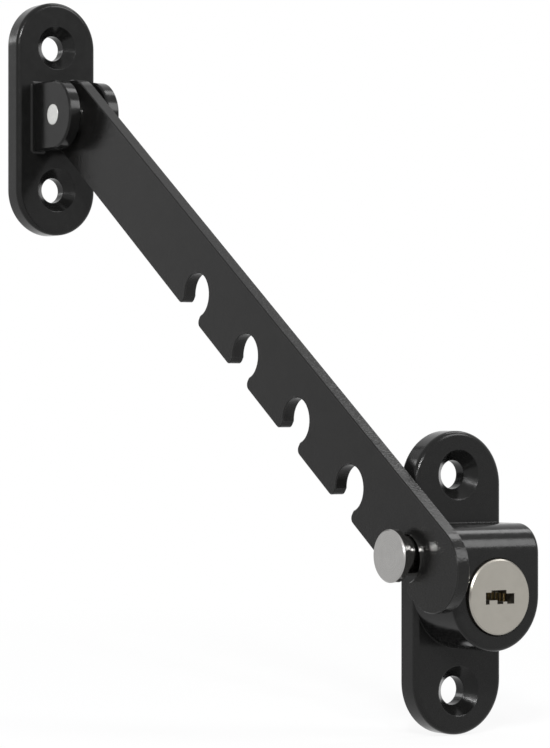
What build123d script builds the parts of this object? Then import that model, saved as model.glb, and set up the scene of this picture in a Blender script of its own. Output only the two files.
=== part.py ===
"""Key-lockable window restrictor: lock casting, notched arm and pivot bracket.

Frame: X to the right, -Y out of the window sash (the fronts of both plates), +Z up.
The origin is the centre of the lock plate's back face.
"""
import os
from math import cos, radians, sin, sqrt

from build123d import *

os.makedirs("parts", exist_ok=True)

# Lock plate and its screw holes.
lock_width = 22.0
lock_height = 62.0
lock_thickness = 4.8
lock_hole_pitch = 44.1
screw_hole_radius = 2.95
countersink_radius = 5.15
countersink_angle = 90
plate_edge_round = 1.1

# Lock housing, cast in one with the plate.
housing_depth = 17.5
housing_top = 12.2
plug_axis_z = -2.3
brow_radius = 6.0
housing_edge_round = 1.0

# Locking peg, sliding along X.
peg_y = -6.45
peg_z = 5.95
peg_head_radius = 5.39
peg_head_thickness = 1.7
peg_head_chamfer = 0.3
peg_shank_radius = 4.1
peg_neck_radius = 3.2
peg_neck_end = 2.0
peg_bore_wall = 1.5
peg_spigot_radius = 1.6
peg_spigot_length = 2.0
peg_travel = 5.0
shank_seat_depth = 0.8
peg_head_gap = 2.4

# Restrictor arm, a flat steel stamping.
arm_thickness = 3.04
arm_width = 17.65
arm_side_gap = 0.83
arm_tilt = 35.7
arm_notch_count = 5
notch_pitch = 23.84
notch_radius = 4.87
notch_mouth_width = 7.7
notch_corner_round = 1.4
notch_height = 5.26
notch_rest_drop = 0.65
last_notch_distance = 164.9
arm_tip_length = 8.1
arm_middle_drop = 0.5
arm_edge_break = 0.2

# Pivot bracket.
bracket_width = 21.2
bracket_height = 55.3
bracket_thickness = 4.7
bracket_hole_pitch = 33.8
ear_radius = 8.0
ear_thickness = 3.2
ear_gap = 7.1
ear_root_round = 0.6
ear_edge_chamfer = 0.35
pivot_standoff = 9.5

# Pivot pin and its two spacer washers.
pin_radius = 2.5
pin_proud = 0.05
pin_chamfer = 0.15
washer_radius = 4.0
washer_play = 0.05

# Key plug and what it turns.
plug_face_radius = 7.62
plug_face_thickness = 2.2
plug_proud = 0.9
plug_face_chamfer = 0.3
plug_body_radius = 6.3
plug_body_length = 6.8
tail_radius = 4.2
tail_length = 1.5
tail_square = 4.6
keyway_width = 7.2
keyway_height = 2.8
keyway_depth = 8.6
# Wards that narrow the keyway from above and below: middle, width and height.
upper_wards = ((-2.9, 1.4, 0.4), (2.65, 2.1, 0.7))
lower_wards = ((-1.7, 2.0, 0.8), (1.3, 1.0, 0.45))

# Cam, its screw and the back cover.
cam_thickness = 2.4
cam_hub_radius = 4.6
cam_lobe_radius = 6.35
cam_lobe_width = 3.3
cam_screw_head_radius = 3.4
cam_screw_head_thickness = 1.3
cam_screw_radius = 1.5
cam_screw_head_chamfer = 0.4
cam_screw_slot_width = 0.8
cam_screw_slot_depth = 0.7
cam_screw_length = 3.6
cover_radius = 7.1
cover_thickness = 1.1
cover_inset = 0.1

# Wafers and their springs.
wafer_count = 5
wafer_pitch = 1.25
wafer_thickness = 0.75
wafer_length = 11.2
wafer_height = 4.8
wafer_window_margin = 0.2
first_wafer_depth = 0.7
tab_width = 1.0
tab_height = 1.35
tab_inset = 2.8
spring_pocket_end = 3.4
wafer_travel = 0.6
wafer_spring_wire = 0.18
wafer_spring_width = 0.6
wafer_spring_reach = 0.4
wafer_spring_folds = 5

# Peg spring.
spring_wire_radius = 0.3
spring_outer_radius = 2.9
spring_turns = 5

# Stop pin across the peg's groove.
stop_pin_radius = 1.0
stop_pin_x = -7.0
stop_pin_length = 9.4
groove_depth = 1.3

# Fits and clearances.
running_fit = 0.05
press_clearance = 0.02
plug_face_gap = 0.25
seat_gap = 0.1
cam_gap = 0.1
lock_play = 0.2

# Places worked out from the sizes above.
half_lock = lock_width / 2
half_arm = arm_width / 2
arm_right = -half_lock - arm_side_gap
arm_left = arm_right - arm_thickness
arm_middle = (arm_left + arm_right) / 2
peg_shank_end = -half_lock + shank_seat_depth
peg_head_back = arm_left - peg_head_gap
peg_head_face = peg_head_back - peg_head_thickness
peg_line = Axis((0, peg_y, peg_z), (1, 0, 0))

notch_level = notch_height - half_arm - arm_middle_drop
arm_cos = cos(radians(arm_tilt))
arm_sin = sin(radians(arm_tilt))
notch_y = peg_y
notch_z = peg_z - notch_rest_drop
pivot_y = notch_y + last_notch_distance * arm_cos + notch_level * arm_sin
pivot_z = notch_z + last_notch_distance * arm_sin - notch_level * arm_cos
bracket_front = pivot_y + pivot_standoff
ear_inner = ear_gap / 2
ear_outer = ear_inner + ear_thickness

plug_face = housing_depth + plug_proud
plug_body_top = plug_face - plug_face_thickness
plug_body_end = plug_body_top - plug_body_length
tail_end = plug_body_end - tail_length
cam_top = tail_end
cam_end = cam_top - cam_thickness
shoulder_end = tail_end + seat_gap / 2
cover_seat = cover_thickness + cover_inset
stop_pin_z = peg_z + peg_neck_radius - groove_depth + seat_gap + stop_pin_radius
neck_drop = peg_z - peg_neck_radius - plug_axis_z
lobe_sweep = sqrt(cam_lobe_radius**2 - neck_drop**2)
spring_seat = peg_neck_end + spring_wire_radius + seat_gap / 2
spring_length = half_lock - peg_bore_wall - spring_seat - spring_wire_radius - seat_gap / 2

wafer_depths = [first_wafer_depth + wafer_pitch * place for place in range(wafer_count)]
channel_reach = wafer_length / 2 + wafer_travel + seat_gap
channel_width = wafer_height + 2 * seat_gap
channel_length = wafer_depths[-1] + wafer_thickness + seat_gap
wafer_spring_inset = (wafer_thickness - wafer_spring_width) / 2
fold_start = -tab_inset + tab_width / 2 + running_fit + wafer_spring_wire / 2
fold_step = (spring_pocket_end - running_fit - wafer_spring_wire / 2 - fold_start) / wafer_spring_folds
fold_middle = plug_axis_z + (wafer_height + tab_height) / 2 + running_fit
fold_points = [
    (fold_start + fold_step * fold, fold_middle + wafer_spring_reach * (-1) ** fold)
    for fold in range(wafer_spring_folds + 1)
]

# Lock body: a D-shaped block, round below about the plug axis, flat above, with a
# large radius from its top into its front face.
with BuildPart() as lock_body:
    with BuildSketch(Plane.XZ):
        with Locations((0, plug_axis_z)):
            Circle(half_lock)
            Rectangle(lock_width, housing_top - plug_axis_z, align=(Align.CENTER, Align.MIN))
    extrude(amount=housing_depth)
    brow = lock_body.edges().filter_by(Axis.X).group_by(Axis.Z)[-1].sort_by(Axis.Y)[0]
    fillet(brow, brow_radius)
    front_rim = lock_body.faces().sort_by(Axis.Y)[0].edges().filter_by(Axis.X, reverse=True)
    brow_rim = lock_body.edges().filter_by(GeomType.CIRCLE).group_by(Axis.Z)[-1]
    top_rim = lock_body.edges().filter_by(Axis.Y).group_by(Axis.Z)[-1]
    fillet(front_rim + brow_rim + top_rim, housing_edge_round)

# Lock housing: the screw plate and the lock body as one die casting, bored for the key
# plug from the front, for the cam from the back and for the peg from its left side.
with BuildPart() as lock_housing:
    with BuildSketch(Plane.XZ):
        SlotOverall(lock_height, lock_width, rotation=90)
    extrude(amount=lock_thickness)
    fillet(lock_housing.faces().sort_by(Axis.Y)[0].edges(), plate_edge_round)
    add(lock_body.part)
    with Locations(Plane.XZ.offset(lock_thickness)):
        with GridLocations(0, lock_hole_pitch, 1, 2):
            CounterSinkHole(screw_hole_radius, countersink_radius, lock_thickness, countersink_angle)
    with BuildSketch(Plane.XZ.offset(housing_depth)):
        with Locations((0, plug_axis_z)):
            Circle(plug_face_radius + plug_face_gap)
    extrude(amount=plug_body_top - housing_depth - seat_gap / 2, mode=Mode.SUBTRACT)
    with BuildSketch(Plane.XZ.offset(housing_depth)):
        with Locations((0, plug_axis_z)):
            Circle(plug_body_radius + running_fit)
    extrude(amount=plug_body_end - housing_depth - seat_gap, mode=Mode.SUBTRACT)
    # Channels that the wafers spring into, to the left and, with the key turned, above.
    with BuildSketch(Plane.XZ.offset(plug_body_top)):
        with Locations((0, plug_axis_z)):
            Rectangle(channel_reach, channel_width, align=(Align.MAX, Align.CENTER))
            Rectangle(channel_width, channel_reach, align=(Align.CENTER, Align.MIN))
    extrude(amount=-channel_length, mode=Mode.SUBTRACT)
    with BuildSketch(Plane.XZ.offset(plug_body_end)):
        with Locations((0, plug_axis_z)):
            Circle(tail_radius + running_fit)
    extrude(amount=-plug_body_end, mode=Mode.SUBTRACT)
    with BuildSketch(Plane.XZ):
        with Locations((0, plug_axis_z)):
            Circle(cam_lobe_radius + lock_play)
    extrude(amount=shoulder_end, mode=Mode.SUBTRACT)
    with BuildSketch(Plane.XZ):
        with Locations((0, plug_axis_z)):
            Circle(cover_radius + press_clearance)
    extrude(amount=cover_seat, mode=Mode.SUBTRACT)
    with BuildSketch(Plane.YZ.offset(-half_lock)):
        with Locations((peg_y, peg_z)):
            Circle(peg_shank_radius + running_fit)
    extrude(amount=shank_seat_depth + seat_gap, mode=Mode.SUBTRACT)
    with BuildSketch(Plane.YZ.offset(-half_lock)):
        with Locations((peg_y, peg_z)):
            Circle(peg_neck_radius + running_fit)
    extrude(amount=lock_width - peg_bore_wall, mode=Mode.SUBTRACT)
    with BuildSketch(Plane.XZ):
        with Locations((stop_pin_x, stop_pin_z)):
            Circle(stop_pin_radius + press_clearance)
    extrude(amount=stop_pin_length + seat_gap, mode=Mode.SUBTRACT)

# Locking peg: a turned steel pin with a button head, a thick shank that fills the arm's
# notch, and a thinner neck that slips through the notch mouth when the peg is out.
with BuildPart() as locking_peg:
    with BuildSketch(Plane.XZ.offset(-peg_y)):
        with BuildLine():
            Polyline(
                (peg_head_face, peg_z),
                (peg_head_face, peg_z + peg_head_radius - peg_head_chamfer),
                (peg_head_face + peg_head_chamfer, peg_z + peg_head_radius),
                (peg_head_back, peg_z + peg_head_radius),
                (peg_head_back, peg_z + peg_shank_radius),
                (peg_shank_end, peg_z + peg_shank_radius),
                (peg_shank_end, peg_z + peg_neck_radius),
                (peg_neck_end, peg_z + peg_neck_radius),
                (peg_neck_end, peg_z + peg_spigot_radius),
                (peg_neck_end + peg_spigot_length, peg_z + peg_spigot_radius),
                (peg_neck_end + peg_spigot_length, peg_z),
                close=True,
            )
        make_face()
    revolve(axis=peg_line)
    # Groove above for the stop pin, as long as the peg's travel.
    with Locations((stop_pin_x - stop_pin_radius - seat_gap, peg_y, peg_z + peg_neck_radius)):
        Box(
            peg_travel + 2 * (stop_pin_radius + seat_gap),
            2 * peg_neck_radius,
            2 * groove_depth,
            align=(Align.MIN, Align.CENTER, Align.CENTER),
            mode=Mode.SUBTRACT,
        )
    # Locking notch below, as wide as the cam lobe needs while it swings up.
    with Locations((cam_lobe_width / 2 + lock_play, peg_y, plug_axis_z)):
        Box(
            lobe_sweep + cam_lobe_width / 2 + 2 * lock_play,
            2 * peg_neck_radius,
            cam_lobe_radius + cam_gap,
            align=(Align.MAX, Align.CENTER, Align.MIN),
            mode=Mode.SUBTRACT,
        )

# Peg spring: an open wire coil round the spigot that pushes the peg out.
with BuildPart() as peg_spring:
    with BuildLine() as coil:
        Helix(
            spring_length / spring_turns,
            spring_length,
            spring_outer_radius - spring_wire_radius,
            center=(spring_seat, peg_y, peg_z),
            direction=(1, 0, 0),
        )
    with BuildSketch(Plane(origin=coil.line @ 0, z_dir=coil.line % 0)):
        RegularPolygon(spring_wire_radius, 6)
    sweep(is_frenet=True)

# Stop pin: a steel dowel pressed in from the back, above the peg's groove.
with BuildPart() as stop_pin:
    with BuildSketch(Plane.XZ):
        with Locations((stop_pin_x, stop_pin_z)):
            Circle(stop_pin_radius)
    extrude(amount=stop_pin_length)
    chamfer(stop_pin.edges().filter_by(GeomType.CIRCLE), pin_chamfer)

# Key plug: a turned plug with a round face, a keyway through face and body, five wafer
# slots with side pockets for their springs, and a square tail that carries the cam.
with BuildPart() as key_plug:
    with BuildSketch(Plane.XZ.offset(plug_face)):
        with Locations((0, plug_axis_z)):
            Circle(plug_face_radius)
    extrude(amount=-plug_face_thickness)
    chamfer(key_plug.faces().sort_by(Axis.Y)[0].edges(), plug_face_chamfer)
    with BuildSketch(Plane.XZ.offset(plug_body_top)):
        with Locations((0, plug_axis_z)):
            Circle(plug_body_radius)
    extrude(amount=-plug_body_length)
    with BuildSketch(Plane.XZ.offset(plug_body_end)):
        with Locations((0, plug_axis_z)):
            Circle(tail_radius)
    extrude(amount=-tail_length)
    with BuildSketch(Plane.XZ.offset(tail_end)):
        with Locations((0, plug_axis_z)):
            Rectangle(tail_square, tail_square)
    extrude(amount=-cam_thickness)
    with BuildSketch(Plane.XZ.offset(plug_face)):
        with Locations((0, plug_axis_z)):
            Rectangle(keyway_width, keyway_height)
        for middle, width, height in upper_wards:
            with Locations((middle, plug_axis_z + keyway_height / 2)):
                Rectangle(width, height, align=(Align.CENTER, Align.MAX), mode=Mode.SUBTRACT)
        for middle, width, height in lower_wards:
            with Locations((middle, plug_axis_z - keyway_height / 2)):
                Rectangle(width, height, align=(Align.CENTER, Align.MIN), mode=Mode.SUBTRACT)
    extrude(amount=-keyway_depth, mode=Mode.SUBTRACT)
    for depth in wafer_depths:
        with BuildSketch(Plane.XZ.offset(plug_body_top - depth + seat_gap / 2)):
            with Locations((0, plug_axis_z)):
                Rectangle(2 * plug_body_radius, wafer_height + 2 * running_fit)
            with Locations((spring_pocket_end, plug_axis_z + wafer_height / 2)):
                Rectangle(
                    spring_pocket_end + tab_inset + tab_width / 2 + wafer_travel + seat_gap,
                    tab_height + 2 * running_fit,
                    align=(Align.MAX, Align.MIN),
                )
        extrude(amount=-wafer_thickness - seat_gap, mode=Mode.SUBTRACT)
    with BuildSketch(Plane.XZ.offset(cam_end)):
        with Locations((0, plug_axis_z)):
            Circle(cam_screw_radius + press_clearance)
    extrude(amount=cam_screw_length + seat_gap, mode=Mode.SUBTRACT)

# Wafers: five stamped plates across the keyway, each with a window for the key and a
# side tab that its spring pushes on.
wafers = []
wafer_springs = []
for depth in wafer_depths:
    with BuildPart() as wafer:
        with BuildSketch(Plane.XZ.offset(plug_body_top - depth)):
            with Locations((0, plug_axis_z)):
                Rectangle(wafer_length, wafer_height)
                Rectangle(
                    keyway_width + 2 * wafer_window_margin,
                    keyway_height + 2 * wafer_window_margin,
                    mode=Mode.SUBTRACT,
                )
            with Locations((-tab_inset, plug_axis_z + wafer_height / 2)):
                Rectangle(tab_width, tab_height, align=(Align.CENTER, Align.MIN))
        extrude(amount=-wafer_thickness)
    wafers.append(wafer)
    with BuildPart() as wafer_spring:
        with BuildSketch(Plane.XZ.offset(plug_body_top - depth - wafer_spring_inset)):
            with BuildLine():
                Polyline(fold_points)
            trace(line_width=wafer_spring_wire)
        extrude(amount=-wafer_spring_width)
    wafer_springs.append(wafer_spring)

# Cam: a stamped plate on the plug's square tail, with one lobe that points left.
with BuildPart() as cam:
    with BuildSketch(Plane.XZ.offset(cam_top)):
        with Locations((0, plug_axis_z)):
            Circle(cam_lobe_radius)
            Rectangle(
                cam_lobe_radius,
                cam_lobe_width,
                align=(Align.MAX, Align.CENTER),
                mode=Mode.INTERSECT,
            )
            Circle(cam_hub_radius)
            Rectangle(
                tail_square + 2 * press_clearance,
                tail_square + 2 * press_clearance,
                mode=Mode.SUBTRACT,
            )
    extrude(amount=-cam_thickness)

# Cam screw: a pan-head screw up the middle of the plug's tail.
with BuildPart() as cam_screw:
    with BuildSketch(Plane.XZ.offset(cam_end)):
        with Locations((0, plug_axis_z)):
            Circle(cam_screw_head_radius)
    extrude(amount=-cam_screw_head_thickness)
    chamfer(cam_screw.edges().filter_by(GeomType.CIRCLE).sort_by(Axis.Y)[-1], cam_screw_head_chamfer)
    with BuildSketch(Plane.XZ.offset(cam_end - cam_screw_head_thickness)):
        with Locations((0, plug_axis_z)):
            Rectangle(2 * cam_screw_head_radius, cam_screw_slot_width)
    extrude(amount=cam_screw_slot_depth, mode=Mode.SUBTRACT)
    with BuildSketch(Plane.XZ.offset(cam_end)):
        with Locations((0, plug_axis_z)):
            Circle(cam_screw_radius)
    extrude(amount=cam_screw_length)

# Back cover: a pressed disc that closes the cam chamber from behind.
with BuildPart() as back_cover:
    with BuildSketch(Plane.XZ.offset(cover_inset)):
        with Locations((0, plug_axis_z)):
            Circle(cover_radius)
    extrude(amount=cover_thickness)

# Restrictor arm: a flat steel bar with round ends, five keyhole notches open to its lower
# edge and a pivot hole. Its sketch runs from the pivot hole towards the lock.
arm_plane = Plane(
    origin=(arm_right, pivot_y, pivot_z),
    x_dir=(0, -arm_cos, -arm_sin),
    z_dir=(-1, 0, 0),
)
with BuildPart() as restrictor_arm:
    with BuildSketch(arm_plane) as arm_outline:
        with Locations(((last_notch_distance + arm_tip_length) / 2, -arm_middle_drop)):
            SlotCenterToCenter(last_notch_distance + arm_tip_length, arm_width)
        for place in range(arm_notch_count):
            with Locations((last_notch_distance - notch_pitch * place, notch_level)):
                Circle(notch_radius, mode=Mode.SUBTRACT)
                Rectangle(
                    notch_mouth_width,
                    arm_width,
                    align=(Align.CENTER, Align.MAX),
                    mode=Mode.SUBTRACT,
                )
        mouth_corners = arm_outline.vertices().group_by(Axis.Y)[0]
        fillet(mouth_corners, notch_corner_round)
        Circle(pin_radius + running_fit, mode=Mode.SUBTRACT)
    extrude(amount=arm_thickness)
    rims = restrictor_arm.faces().filter_by(Axis.X).edges()
    chamfer(rims, arm_edge_break)

# Pivot bracket: a screw plate with two D-shaped ears, cast in one.
with BuildPart() as pivot_bracket:
    with BuildSketch(Plane.XZ.offset(-bracket_front)):
        with Locations((arm_middle, pivot_z)):
            SlotOverall(bracket_height, bracket_width, rotation=90)
    extrude(amount=-bracket_thickness)
    fillet(pivot_bracket.faces().sort_by(Axis.Y)[0].edges(), plate_edge_round)
    for side in (-1, 1):
        with BuildSketch(Plane.YZ.offset(arm_middle + side * (ear_inner + ear_thickness / 2))):
            with Locations((pivot_y, pivot_z)):
                Circle(ear_radius)
                Rectangle(
                    pivot_standoff + bracket_thickness / 2,
                    2 * ear_radius,
                    align=(Align.MIN, Align.CENTER),
                )
        extrude(amount=ear_thickness / 2, both=True)
    ear_edges = pivot_bracket.edges().filter_by_position(Axis.Y, pivot_y - ear_radius, pivot_y)
    chamfer(ear_edges, ear_edge_chamfer)
    ear_roots = pivot_bracket.edges().filter_by_position(Axis.Y, bracket_front, bracket_front)
    fillet(ear_roots.filter_by(GeomType.LINE), ear_root_round)
    with BuildSketch(Plane.YZ.offset(arm_middle - ear_outer)):
        with Locations((pivot_y, pivot_z)):
            Circle(pin_radius + press_clearance)
    extrude(amount=2 * ear_outer, mode=Mode.SUBTRACT)
    with Locations(Plane.XZ.offset(-bracket_front)):
        with Locations((arm_middle, pivot_z)):
            with GridLocations(0, bracket_hole_pitch, 1, 2):
                CounterSinkHole(
                    screw_hole_radius,
                    countersink_radius,
                    bracket_thickness,
                    countersink_angle,
                )

# Pivot pin: a plain steel rivet through both ears, the washers and the arm.
with BuildPart() as pivot_pin:
    with BuildSketch(Plane.YZ.offset(arm_middle - ear_outer - pin_proud)):
        with Locations((pivot_y, pivot_z)):
            Circle(pin_radius)
    extrude(amount=2 * (ear_outer + pin_proud))
    chamfer(pivot_pin.edges().filter_by(GeomType.CIRCLE), pin_chamfer)

# Spacer washers: one on each side of the arm, against the ears.
washers = []
for side in (-1, 1):
    with BuildPart() as washer:
        with BuildSketch(Plane.YZ.offset(arm_middle + side * (arm_thickness / 2 + washer_play))):
            with Locations((pivot_y, pivot_z)):
                Circle(washer_radius)
                Circle(pin_radius + press_clearance, mode=Mode.SUBTRACT)
        extrude(amount=side * (ear_inner - arm_thickness / 2 - 2 * washer_play))
    washers.append(washer)

pieces = {
    "lock_housing": lock_housing,
    "locking_peg": locking_peg,
    "peg_spring": peg_spring,
    "stop_pin": stop_pin,
    "key_plug": key_plug,
    "cam": cam,
    "cam_screw": cam_screw,
    "back_cover": back_cover,
    "restrictor_arm": restrictor_arm,
    "pivot_bracket": pivot_bracket,
    "pivot_pin": pivot_pin,
    "washer_left": washers[0],
    "washer_right": washers[1],
}
for place in range(wafer_count):
    pieces["wafer_" + str(place + 1)] = wafers[place]
    pieces["wafer_spring_" + str(place + 1)] = wafer_springs[place]

for name, piece in pieces.items():
    piece.part.label = name
    export_step(piece.part, "parts/" + name + ".step")
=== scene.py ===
"""Looks of the window restrictor: a black lock casting with its key plug and peg, a notched
steel arm hooked on the peg, and the pivot bracket that holds the arm's far end.
"""

import math

import bpy
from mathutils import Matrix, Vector


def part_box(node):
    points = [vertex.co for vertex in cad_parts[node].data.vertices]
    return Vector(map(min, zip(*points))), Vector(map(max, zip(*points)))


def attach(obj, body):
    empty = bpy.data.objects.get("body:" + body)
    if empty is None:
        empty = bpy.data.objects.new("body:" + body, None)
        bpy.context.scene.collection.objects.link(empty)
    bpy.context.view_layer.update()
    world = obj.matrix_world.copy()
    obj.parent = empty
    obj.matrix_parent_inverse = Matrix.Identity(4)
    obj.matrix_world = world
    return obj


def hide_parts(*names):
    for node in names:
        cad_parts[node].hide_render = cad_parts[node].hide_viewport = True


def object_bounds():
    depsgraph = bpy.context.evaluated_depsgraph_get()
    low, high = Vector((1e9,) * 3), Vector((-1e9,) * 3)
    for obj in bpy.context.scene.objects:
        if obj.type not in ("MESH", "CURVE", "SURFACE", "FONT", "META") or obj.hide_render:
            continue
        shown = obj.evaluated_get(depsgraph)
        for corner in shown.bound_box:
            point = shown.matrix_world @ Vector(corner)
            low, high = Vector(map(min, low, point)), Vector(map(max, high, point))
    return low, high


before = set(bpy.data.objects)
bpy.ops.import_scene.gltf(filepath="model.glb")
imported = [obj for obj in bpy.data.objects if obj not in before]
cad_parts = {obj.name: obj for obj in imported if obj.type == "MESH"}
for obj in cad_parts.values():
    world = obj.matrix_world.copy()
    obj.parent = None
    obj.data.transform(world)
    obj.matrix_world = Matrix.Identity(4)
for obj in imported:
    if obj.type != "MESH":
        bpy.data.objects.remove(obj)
cad_low, cad_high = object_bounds()

# The photograph's viewpoint: level, two thirds of a metre in front of the lock and well to
# its left, so that the arm runs away up to the left. The picture is 550 by 748.
view_turn = -34.141
camera_data = bpy.data.cameras.new("camera")
camera_data.sensor_fit = "AUTO"
camera_data.sensor_width = 36.0
camera_data.lens = 153.466
camera_data.shift_y = 0.0662
camera_data.clip_start = 0.02
camera_data.clip_end = 20.0
camera = bpy.data.objects.new("camera", camera_data)
camera.location = (-0.395744, -0.521656, 0.032476)
camera.rotation_euler = (math.radians(90.0), 0.0, math.radians(view_turn))
bpy.context.scene.collection.objects.link(camera)
bpy.context.scene.camera = camera


# A studio table of white card that runs back without an edge. The lens sees it white,
# and it keeps the soft shadow of the restrictor standing on its lock plate.
def new_node(tree, kind, operation=None):
    node = tree.nodes.new(kind)
    if operation:
        node.operation = operation
    return node


def join(tree, pairs):
    for source, sink in pairs:
        tree.links.new(source, sink)


half_table = 6.0
table_gap = 0.0002
table_level = cad_low.z - table_gap
floor_mesh = bpy.data.meshes.new("floor")
floor_mesh.from_pydata(
    [(-half_table, -half_table, table_level), (half_table, -half_table, table_level),
     (half_table, half_table, table_level), (-half_table, half_table, table_level)],
    [], [(0, 1, 2, 3)])
floor = bpy.data.objects.new("floor", floor_mesh)
bpy.context.scene.collection.objects.link(floor)

card_grey = 0.86
shadow_share = 0.12
shadow_full, shadow_gone = 0.05, 0.5
card = bpy.data.materials.new("white card")
card.use_nodes = True
card.node_tree.nodes.clear()
card_out = new_node(card.node_tree, "ShaderNodeOutputMaterial")
card_face = new_node(card.node_tree, "ShaderNodeBsdfDiffuse")
card_face.inputs["Color"].default_value = (card_grey, card_grey, card_grey, 1)
card_glow = new_node(card.node_tree, "ShaderNodeEmission")
card_glow.inputs["Strength"].default_value = 1.0
card_mix = new_node(card.node_tree, "ShaderNodeMixShader")
card_rays = new_node(card.node_tree, "ShaderNodeLightPath")
card_seen = new_node(card.node_tree, "ShaderNodeMath", "MAXIMUM")
card_share = new_node(card.node_tree, "ShaderNodeMath", "MULTIPLY")
card_place = new_node(card.node_tree, "ShaderNodeTexCoord")
card_reach = new_node(card.node_tree, "ShaderNodeVectorMath", "LENGTH")
card_fade = new_node(card.node_tree, "ShaderNodeMapRange")
card_fade.interpolation_type = "SMOOTHSTEP"
card_fade.inputs["From Min"].default_value = shadow_full
card_fade.inputs["From Max"].default_value = shadow_gone
card_fade.inputs["To Min"].default_value = 1.0 - shadow_share
card_fade.inputs["To Max"].default_value = 1.0
join(card.node_tree, [
    (card_place.outputs["Object"], card_reach.inputs[0]),
    (card_reach.outputs["Value"], card_fade.inputs["Value"]),
    (card_fade.outputs["Result"], card_share.inputs[1]),
    (card_rays.outputs["Is Camera Ray"], card_seen.inputs[0]),
    (card_rays.outputs["Is Glossy Ray"], card_seen.inputs[1]),
    (card_seen.outputs[0], card_share.inputs[0]),
    (card_share.outputs[0], card_mix.inputs["Fac"]),
    (card_face.outputs[0], card_mix.inputs[1]),
    (card_glow.outputs[0], card_mix.inputs[2]),
    (card_mix.outputs[0], card_out.inputs["Surface"]),
])
floor_mesh.materials.append(card)

# The room round the table: plain and pale, and white where the lens or a bright surface
# looks past the table.
world = bpy.data.worlds.new("studio")
bpy.context.scene.world = world
world.use_nodes = True
world.node_tree.nodes.clear()
world_out = new_node(world.node_tree, "ShaderNodeOutputWorld")
room = new_node(world.node_tree, "ShaderNodeBackground")
room.inputs["Color"].default_value = (0.95, 0.97, 1.0, 1)
room.inputs["Strength"].default_value = 0.3
backdrop = new_node(world.node_tree, "ShaderNodeBackground")
backdrop.inputs["Color"].default_value = (1, 1, 1, 1)
backdrop.inputs["Strength"].default_value = 1.0
world_mix = new_node(world.node_tree, "ShaderNodeMixShader")
world_rays = new_node(world.node_tree, "ShaderNodeLightPath")
world_seen = new_node(world.node_tree, "ShaderNodeMath", "MAXIMUM")
join(world.node_tree, [
    (world_rays.outputs["Is Camera Ray"], world_seen.inputs[0]),
    (world_rays.outputs["Is Glossy Ray"], world_seen.inputs[1]),
    (world_seen.outputs[0], world_mix.inputs["Fac"]),
    (room.outputs[0], world_mix.inputs[1]),
    (backdrop.outputs[0], world_mix.inputs[2]),
    (world_mix.outputs[0], world_out.inputs["Surface"]),
])
bpy.context.scene.view_settings.view_transform = "Standard"


# Studio lamps: soft boxes whose bright faces show as the highlights on the round edges.
# The brightness is that of the face, so a lamp's power grows with its size.
def soft_box(name, place, target, width, height, brightness):
    lamp = bpy.data.lights.new(name, "AREA")
    lamp.shape = "RECTANGLE"
    lamp.size = width
    lamp.size_y = height
    lamp.energy = brightness * math.pi * width * height
    box = bpy.data.objects.new(name, lamp)
    box.location = place
    box.rotation_mode = "QUATERNION"
    box.rotation_quaternion = (Vector(target) - Vector(place)).to_track_quat("-Z", "Y")
    bpy.context.scene.collection.objects.link(box)


lock_foot = (0.0, 0.0, 0.0)
soft_box("key lamp", (-0.773, -0.919, 0.68), lock_foot, 0.12, 0.24, brightness=150.0)
soft_box("second key lamp", (-0.566, -1.007, 0.755), lock_foot, 0.1, 0.1, brightness=150.0)
soft_box("front right lamp", (0.84, -0.98, 0.83), lock_foot, 0.6, 0.6, brightness=8.0)
soft_box("top lamp", (0.67, 0.08, 1.05), (0.0, 0.05, 0.0), 0.3, 0.6, brightness=6.0)
soft_box("left lamp", (-1.04, -0.66, 0.44), (0.0, 0.0, 0.05), 0.16, 0.16, brightness=20.0)
soft_box("back left lamp", (-0.69, 1.16, 0.56), (0.0, 0.0, 0.02), 0.3, 0.4, brightness=6.0)


# The two castings: the lock housing, bored for the key plug and the peg, and the pivot
# bracket with its ears. Both are zinc die castings, stoved in glossy black enamel that
# is thinner on the edges and shows a faint orange peel.
def new_group(name, inputs, outputs):
    tree = bpy.data.node_groups.new(name, "ShaderNodeTree")
    for label, value in inputs.items():
        kind = "NodeSocketVector" if isinstance(value, tuple) else "NodeSocketFloat"
        socket = tree.interface.new_socket(name=label, in_out="INPUT", socket_type=kind)
        socket.default_value = value
    for label in outputs:
        tree.interface.new_socket(name=label, in_out="OUTPUT", socket_type="NodeSocketFloat")
    return tree, tree.nodes.new("NodeGroupInput"), tree.nodes.new("NodeGroupOutput")


# Surface grain: two sizes of noise, as a height for the bump and a tone for the colour.
grain_tree, grain_in, grain_out = new_group(
    "surface grain",
    {"Coarse Scale": 700.0, "Fine Scale": 5000.0, "Fine Share": 0.3},
    ["Height", "Tone"])
grain_place = new_node(grain_tree, "ShaderNodeTexCoord")
grain_coarse = new_node(grain_tree, "ShaderNodeTexNoise")
grain_coarse.inputs["Detail"].default_value = 2.0
grain_fine = new_node(grain_tree, "ShaderNodeTexNoise")
grain_fine.inputs["Detail"].default_value = 1.0
grain_sum = new_node(grain_tree, "ShaderNodeMix")
join(grain_tree, [
    (grain_place.outputs["Object"], grain_coarse.inputs["Vector"]),
    (grain_place.outputs["Object"], grain_fine.inputs["Vector"]),
    (grain_in.outputs["Coarse Scale"], grain_coarse.inputs["Scale"]),
    (grain_in.outputs["Fine Scale"], grain_fine.inputs["Scale"]),
    (grain_in.outputs["Fine Share"], grain_sum.inputs["Factor"]),
    (grain_coarse.outputs["Fac"], grain_sum.inputs["A"]),
    (grain_fine.outputs["Fac"], grain_sum.inputs["B"]),
    (grain_sum.outputs["Result"], grain_out.inputs["Height"]),
    (grain_coarse.outputs["Fac"], grain_out.inputs["Tone"]),
])

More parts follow.
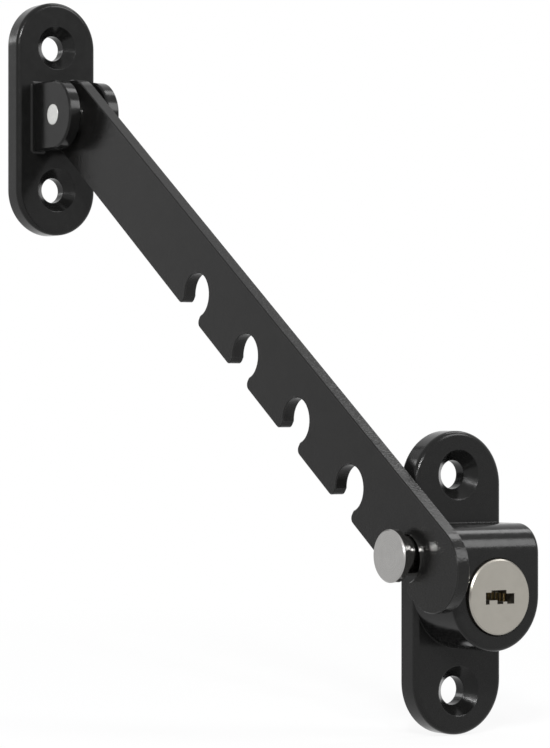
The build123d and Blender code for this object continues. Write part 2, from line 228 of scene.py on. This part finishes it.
# Edge wear: a mask that is 1 on corners tighter than the given radius, broken by noise.
wear_tree, wear_in, wear_out = new_group(
    "edge wear", {"Radius": 0.0003, "Amount": 1.0}, ["Mask"])
wear_round = new_node(wear_tree, "ShaderNodeBevel")
wear_flat = new_node(wear_tree, "ShaderNodeNewGeometry")
wear_dot = new_node(wear_tree, "ShaderNodeVectorMath", "DOT_PRODUCT")
wear_range = new_node(wear_tree, "ShaderNodeMapRange")
wear_range.inputs["From Min"].default_value = 0.995
wear_range.inputs["From Max"].default_value = 0.85
wear_place = new_node(wear_tree, "ShaderNodeTexCoord")
wear_noise = new_node(wear_tree, "ShaderNodeTexNoise")
wear_noise.inputs["Scale"].default_value = 900.0
wear_broken = new_node(wear_tree, "ShaderNodeMath", "MULTIPLY")
wear_amount = new_node(wear_tree, "ShaderNodeMath", "MULTIPLY")
wear_amount.use_clamp = True
join(wear_tree, [
    (wear_in.outputs["Radius"], wear_round.inputs["Radius"]),
    (wear_round.outputs["Normal"], wear_dot.inputs[0]),
    (wear_flat.outputs["Normal"], wear_dot.inputs[1]),
    (wear_dot.outputs["Value"], wear_range.inputs["Value"]),
    (wear_place.outputs["Object"], wear_noise.inputs["Vector"]),
    (wear_range.outputs["Result"], wear_broken.inputs[0]),
    (wear_noise.outputs["Fac"], wear_broken.inputs[1]),
    (wear_broken.outputs[0], wear_amount.inputs[0]),
    (wear_in.outputs["Amount"], wear_amount.inputs[1]),
    (wear_amount.outputs[0], wear_out.inputs["Mask"]),
])


def place_group(material, tree, **values):
    node = new_node(material.node_tree, "ShaderNodeGroup")
    node.node_tree = tree
    for label, value in values.items():
        node.inputs[label.replace("_", " ")].default_value = value
    return node


def new_finish(name, specular, metallic=0.0):
    material = bpy.data.materials.new(name)
    material.use_nodes = True
    surface = material.node_tree.nodes["Principled BSDF"]
    surface.inputs["Specular IOR Level"].default_value = specular
    surface.inputs["Metallic"].default_value = metallic
    return material, surface


def blend_colour(material, factor, under, over):
    mix = new_node(material.node_tree, "ShaderNodeMix")
    mix.data_type = "RGBA"
    for socket, colour in ((mix.inputs[6], under), (mix.inputs[7], over)):
        if isinstance(colour, tuple):
            socket.default_value = (*colour, 1)
        else:
            material.node_tree.links.new(colour, socket)
    material.node_tree.links.new(factor, mix.inputs["Factor"])
    return mix.outputs[2]


def spread(material, value, low, high, start=0.35, end=0.65):
    ramp = new_node(material.node_tree, "ShaderNodeMapRange")
    ramp.inputs["From Min"].default_value = start
    ramp.inputs["From Max"].default_value = end
    ramp.inputs["To Min"].default_value = low
    ramp.inputs["To Max"].default_value = high
    material.node_tree.links.new(value, ramp.inputs["Value"])
    return ramp.outputs["Result"]


def raise_bump(material, height, distance, edge_round=0.0):
    bump = new_node(material.node_tree, "ShaderNodeBump")
    if edge_round > 0:
        rounded = new_node(material.node_tree, "ShaderNodeBevel")
        rounded.inputs["Radius"].default_value = edge_round
        material.node_tree.links.new(rounded.outputs["Normal"], bump.inputs["Normal"])
    bump.inputs["Distance"].default_value = distance
    bump.inputs["Strength"].default_value = 1.0
    material.node_tree.links.new(height, bump.inputs["Height"])
    return bump.outputs["Normal"]


def dress(node, material):
    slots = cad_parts[node].data.materials
    slots.clear()
    slots.append(material)


enamel_orange_peel = 0.000012
enamel_edge_round = 0.0003
enamel, enamel_face = new_finish("glossy black enamel", specular=0.18)
enamel_grain = place_group(
    enamel, grain_tree, Coarse_Scale=650.0, Fine_Scale=4200.0, Fine_Share=0.25)
enamel_wear = place_group(enamel, wear_tree, Radius=0.00025, Amount=0.5)
enamel_tone = blend_colour(
    enamel, enamel_grain.outputs["Tone"],
    under=(0.0048, 0.0048, 0.0047), over=(0.0072, 0.0072, 0.0070))
enamel_colour = blend_colour(
    enamel, enamel_wear.outputs["Mask"], under=enamel_tone, over=(0.03, 0.03, 0.03))
enamel_gloss = spread(enamel, enamel_grain.outputs["Tone"], low=0.13, high=0.2)
enamel_relief = raise_bump(
    enamel, enamel_grain.outputs["Height"], enamel_orange_peel, enamel_edge_round)
join(enamel.node_tree, [
    (enamel_colour, enamel_face.inputs["Base Color"]),
    (enamel_gloss, enamel_face.inputs["Roughness"]),
    (enamel_relief, enamel_face.inputs["Normal"]),
])
dress("lock_housing", enamel)
dress("pivot_bracket", enamel)

# The arm: 3 mm steel strip, stamped out with its five keyhole notches, tumbled so that
# its rims are just broken, and powder-coated in a satin black with a fine grain.
powder_depth = 0.00006
powder, powder_face = new_finish("satin black powder coat", specular=0.16)
powder_grain = place_group(
    powder, grain_tree, Coarse_Scale=260.0, Fine_Scale=2600.0, Fine_Share=0.8)
powder_wear = place_group(powder, wear_tree, Radius=0.0002, Amount=0.8)
powder_tone = blend_colour(
    powder, powder_grain.outputs["Tone"],
    under=(0.0060, 0.0059, 0.0057), over=(0.0092, 0.0090, 0.0087))
powder_colour = blend_colour(
    powder, powder_wear.outputs["Mask"], under=powder_tone, over=(0.06, 0.06, 0.06))
powder_gloss = spread(powder, powder_grain.outputs["Height"], low=0.12, high=0.18)
powder_relief = raise_bump(powder, powder_grain.outputs["Height"], powder_depth)
join(powder.node_tree, [
    (powder_colour, powder_face.inputs["Base Color"]),
    (powder_gloss, powder_face.inputs["Roughness"]),
    (powder_relief, powder_face.inputs["Normal"]),
])
dress("restrictor_arm", powder)

# The locking peg: turned from stainless bar, faced and left with fine tool rings on its
# head, and polished along the shank that the arm hangs on. The rings run round a centre,
# and Keep is 0 along the axis they were turned about.
rings_tree, rings_in, rings_out = new_group(
    "turned rings",
    {"Centre": (0.0, 0.0, 0.0), "Keep": (1.0, 1.0, 1.0), "Rings Per Metre": 9000.0},
    ["Height", "Tone"])
rings_place = new_node(rings_tree, "ShaderNodeTexCoord")
rings_from = new_node(rings_tree, "ShaderNodeVectorMath", "SUBTRACT")
rings_flat = new_node(rings_tree, "ShaderNodeVectorMath", "MULTIPLY")
rings_reach = new_node(rings_tree, "ShaderNodeVectorMath", "LENGTH")
rings_count = new_node(rings_tree, "ShaderNodeMath", "MULTIPLY")
rings_noise = new_node(rings_tree, "ShaderNodeTexNoise")
rings_noise.noise_dimensions = "1D"
rings_noise.inputs["Scale"].default_value = 1.0
rings_noise.inputs["Detail"].default_value = 3.0
rings_cloud = new_node(rings_tree, "ShaderNodeTexNoise")
rings_cloud.inputs["Scale"].default_value = 420.0
join(rings_tree, [
    (rings_place.outputs["Object"], rings_from.inputs[0]),
    (rings_in.outputs["Centre"], rings_from.inputs[1]),
    (rings_from.outputs["Vector"], rings_flat.inputs[0]),
    (rings_in.outputs["Keep"], rings_flat.inputs[1]),
    (rings_flat.outputs["Vector"], rings_reach.inputs[0]),
    (rings_reach.outputs["Value"], rings_count.inputs[0]),
    (rings_in.outputs["Rings Per Metre"], rings_count.inputs[1]),
    (rings_count.outputs[0], rings_noise.inputs["W"]),
    (rings_place.outputs["Object"], rings_cloud.inputs["Vector"]),
    (rings_noise.outputs["Fac"], rings_out.inputs["Height"]),
    (rings_cloud.outputs["Fac"], rings_out.inputs["Tone"]),
])


def metal_finish(name, dark, pale, roughness, ring_depth, centre, keep):
    material, surface = new_finish(name, specular=0.5, metallic=1.0)
    rings = place_group(material, rings_tree, Centre=centre, Keep=keep)
    colour = blend_colour(material, rings.outputs["Tone"], dark, pale)
    gloss = spread(material, rings.outputs["Height"], *roughness)
    relief = raise_bump(material, rings.outputs["Height"], ring_depth)
    join(material.node_tree, [
        (colour, surface.inputs["Base Color"]),
        (gloss, surface.inputs["Roughness"]),
        (relief, surface.inputs["Normal"]),
    ])
    return material


def centre_of(node):
    low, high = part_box(node)
    return tuple((low + high) / 2)


about_x, about_y, all_round = (0.0, 1.0, 1.0), (1.0, 0.0, 1.0), (1.0, 1.0, 1.0)
tool_rings = 0.000004
peg_centre = centre_of("locking_peg")
peg_steel = metal_finish(
    "turned stainless steel", dark=(0.31, 0.305, 0.30), pale=(0.37, 0.365, 0.355),
    roughness=(0.22, 0.34), ring_depth=tool_rings, centre=peg_centre, keep=about_x)

# The polish starts just behind the head's face, where its rim is rounded off.
faced_depth = 0.00035
polish_blend = 0.0002
polish_roughness = 0.1
polish_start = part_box("locking_peg")[0].x + faced_depth
peg_face = peg_steel.node_tree.nodes["Principled BSDF"]
peg_place = new_node(peg_steel.node_tree, "ShaderNodeTexCoord")
peg_along = new_node(peg_steel.node_tree, "ShaderNodeSeparateXYZ")
polish_mask = spread(
    peg_steel, peg_along.outputs["X"], 0.0, 1.0, polish_start, polish_start + polish_blend)
peg_colour = blend_colour(
    peg_steel, polish_mask,
    under=peg_face.inputs["Base Color"].links[0].from_socket, over=(0.62, 0.61, 0.59))
peg_gloss = new_node(peg_steel.node_tree, "ShaderNodeMix")
peg_gloss.inputs["B"].default_value = polish_roughness
join(peg_steel.node_tree, [
    (peg_place.outputs["Object"], peg_along.inputs[0]),
    (peg_colour, peg_face.inputs["Base Color"]),
    (polish_mask, peg_gloss.inputs["Factor"]),
    (peg_face.inputs["Roughness"].links[0].from_socket, peg_gloss.inputs["A"]),
    (peg_gloss.outputs["Result"], peg_face.inputs["Roughness"]),
])
dress("locking_peg", peg_steel)

# The key plug: brass, turned and plated in satin nickel, so its face is warm and nearly
# matt. Behind the face the wafers cross the keyway.
plug_centre = centre_of("key_plug")
plug_nickel = metal_finish(
    "satin nickel plate", dark=(0.308, 0.293, 0.261), pale=(0.352, 0.334, 0.298),
    roughness=(0.3, 0.4), ring_depth=tool_rings, centre=plug_centre, keep=about_y)
dress("key_plug", plug_nickel)

# The pivot: a plain steel rivet, peened flush with the ears, and two spacer washers that
# keep the arm in the middle.
rivet_steel = metal_finish(
    "bright rivet steel", dark=(0.5, 0.5, 0.49), pale=(0.62, 0.62, 0.6),
    roughness=(0.2, 0.34), ring_depth=tool_rings, centre=centre_of("pivot_pin"),
    keep=about_x)
for node in ("pivot_pin", "washer_left", "washer_right"):
    dress(node, rivet_steel)

# Hidden in the lock: the cam with its screw on the plug's tail, the pressed back cover
# and the stop pin, all zinc-plated steel.
zinc_steel = metal_finish(
    "zinc-plated steel", dark=(0.38, 0.39, 0.4), pale=(0.5, 0.51, 0.52),
    roughness=(0.28, 0.45), ring_depth=tool_rings, centre=plug_centre, keep=about_y)
for node in ("cam", "cam_screw", "back_cover", "stop_pin"):
    dress(node, zinc_steel)

# The five wafers: stamped brass plates that slide across the plug, each with a short
# spring of drawn wire beside it that pushes it into the housing's channel.
wafer_count = 5
stamp_marks = 0.000003
wafer_brass = metal_finish(
    "stamped brass", dark=(0.30, 0.22, 0.10), pale=(0.42, 0.32, 0.15),
    roughness=(0.25, 0.42), ring_depth=stamp_marks, centre=plug_centre, keep=all_round)
spring_wire = metal_finish(
    "drawn spring wire", dark=(0.28, 0.28, 0.28), pale=(0.4, 0.4, 0.4),
    roughness=(0.2, 0.35), ring_depth=stamp_marks, centre=peg_centre, keep=about_x)
for place in range(1, wafer_count + 1):
    dress(f"wafer_{place}", wafer_brass)
    dress(f"wafer_spring_{place}", spring_wire)

# The peg spring: round wire wound in an open coil of five turns, that sits over the peg's
# spigot in the bottom of its bore and pushes the peg out.
spring_low, spring_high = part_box("peg_spring")
spring_turns = 5.0
wire_radius = 0.0003
points_per_turn = 40
wire_sides = 12
coil_tree = bpy.data.node_groups.new("wound spring", "GeometryNodeTree")
coil_sockets = {}
for label, kind, value in [
    ("Length", "NodeSocketFloat", spring_high.x - spring_low.x),
    ("Coil Radius", "NodeSocketFloat", (spring_high.y - spring_low.y) / 2),
    ("Wire Radius", "NodeSocketFloat", wire_radius),
    ("Turns", "NodeSocketFloat", spring_turns),
    ("Middle", "NodeSocketVector", tuple((spring_low + spring_high) / 2)),
    ("Finish", "NodeSocketMaterial", spring_wire),
]:
    socket = coil_tree.interface.new_socket(name=label, in_out="INPUT", socket_type=kind)
    coil_sockets[socket.identifier] = value
coil_tree.interface.new_socket(
    name="Geometry", in_out="OUTPUT", socket_type="NodeSocketGeometry")
coil_in = new_node(coil_tree, "NodeGroupInput")
coil_out = new_node(coil_tree, "NodeGroupOutput")
coil_line = new_node(coil_tree, "GeometryNodeCurveSpiral")
coil_line.inputs["Resolution"].default_value = points_per_turn
coil_reach = new_node(coil_tree, "ShaderNodeMath", "SUBTRACT")
coil_rise = new_node(coil_tree, "ShaderNodeMath", "MULTIPLY_ADD")
coil_rise.inputs[1].default_value = -2.0
coil_half = new_node(coil_tree, "ShaderNodeMath", "MULTIPLY")
coil_half.inputs[1].default_value = -0.5
coil_centre = new_node(coil_tree, "ShaderNodeCombineXYZ")
coil_centred = new_node(coil_tree, "GeometryNodeTransform")
coil_laid = new_node(coil_tree, "GeometryNodeTransform")
coil_laid.inputs["Rotation"].default_value = (0.0, math.radians(90.0), 0.0)
coil_wire = new_node(coil_tree, "GeometryNodeCurvePrimitiveCircle")
coil_wire.inputs["Resolution"].default_value = wire_sides
coil_sweep = new_node(coil_tree, "GeometryNodeCurveToMesh")
coil_sweep.inputs["Fill Caps"].default_value = True
coil_single = new_node(coil_tree, "GeometryNodeRealizeInstances")
coil_finish = new_node(coil_tree, "GeometryNodeSetMaterial")
join(coil_tree, [
    (coil_in.outputs["Coil Radius"], coil_reach.inputs[0]),
    (coil_in.outputs["Wire Radius"], coil_reach.inputs[1]),
    (coil_reach.outputs[0], coil_line.inputs["Start Radius"]),
    (coil_reach.outputs[0], coil_line.inputs["End Radius"]),
    (coil_in.outputs["Turns"], coil_line.inputs["Rotations"]),
    (coil_in.outputs["Wire Radius"], coil_rise.inputs[0]),
    (coil_in.outputs["Length"], coil_rise.inputs[2]),
    (coil_rise.outputs[0], coil_line.inputs["Height"]),
    (coil_rise.outputs[0], coil_half.inputs[0]),
    (coil_half.outputs[0], coil_centre.inputs["Z"]),
    (coil_line.outputs["Curve"], coil_centred.inputs["Geometry"]),
    (coil_centre.outputs["Vector"], coil_centred.inputs["Translation"]),
    (coil_centred.outputs["Geometry"], coil_laid.inputs["Geometry"]),
    (coil_in.outputs["Middle"], coil_laid.inputs["Translation"]),
    (coil_in.outputs["Wire Radius"], coil_wire.inputs["Radius"]),
    (coil_laid.outputs["Geometry"], coil_sweep.inputs["Curve"]),
    (coil_wire.outputs["Curve"], coil_sweep.inputs["Profile Curve"]),
    (coil_sweep.outputs["Mesh"], coil_single.inputs["Geometry"]),
    (coil_single.outputs["Geometry"], coil_finish.inputs["Geometry"]),
    (coil_in.outputs["Finish"], coil_finish.inputs["Material"]),
    (coil_finish.outputs["Geometry"], coil_out.inputs["Geometry"]),
])
coil_maker = bpy.data.objects.new("coil maker", bpy.data.meshes.new("coil maker"))
bpy.context.scene.collection.objects.link(coil_maker)
coil_modifier = coil_maker.modifiers.new("wound spring", "NODES")
coil_modifier.node_group = coil_tree
for identifier, value in coil_sockets.items():
    coil_modifier[identifier] = value
bpy.context.view_layer.update()
coil_made = coil_maker.evaluated_get(bpy.context.evaluated_depsgraph_get())
coil_mesh = bpy.data.meshes.new_from_object(coil_made)
bpy.data.objects.remove(coil_maker)
coil_mesh.polygons.foreach_set("use_smooth", [True] * len(coil_mesh.polygons))
coil = bpy.data.objects.new("peg_coil", coil_mesh)
bpy.context.scene.collection.objects.link(coil)
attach(coil, "lock")
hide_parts("peg_spring")
